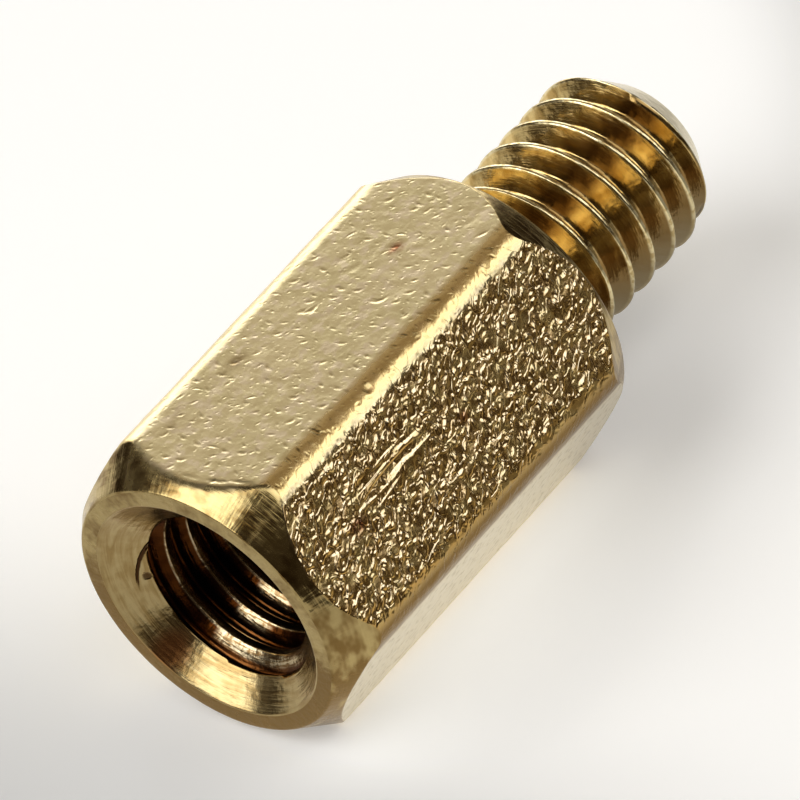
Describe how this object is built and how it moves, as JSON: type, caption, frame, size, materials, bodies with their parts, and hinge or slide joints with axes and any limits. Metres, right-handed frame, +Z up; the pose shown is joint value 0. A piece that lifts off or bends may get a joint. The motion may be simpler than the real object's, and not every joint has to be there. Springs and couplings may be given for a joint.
{
  "type": "hex standoff",
  "caption": "Male-female hex standoff in brass: hexagon body with rounded edges and turned-off corners, a countersunk tapped hole in one end and a threaded stud on the other.",
  "frame": {"origin": "on the common axis of the stud and the tapped hole, at the shoulder that seats on a board", "axes": "+X along the axis from the tapped face towards the stud; +Z up, square to the flat it lies on; +Y across the side corners. It lies on its lower flat, 2.25 mm below the origin"},
  "size_m": [0.0105, 0.005, 0.0044],
  "materials": {
    "brass": "bright drawn brass, tumbled: satin flats with small dents, shiny turned ends and threads"
  },
  "bodies": {
    "root": {"standoff": "brass"}
  },
  "joints": []
}
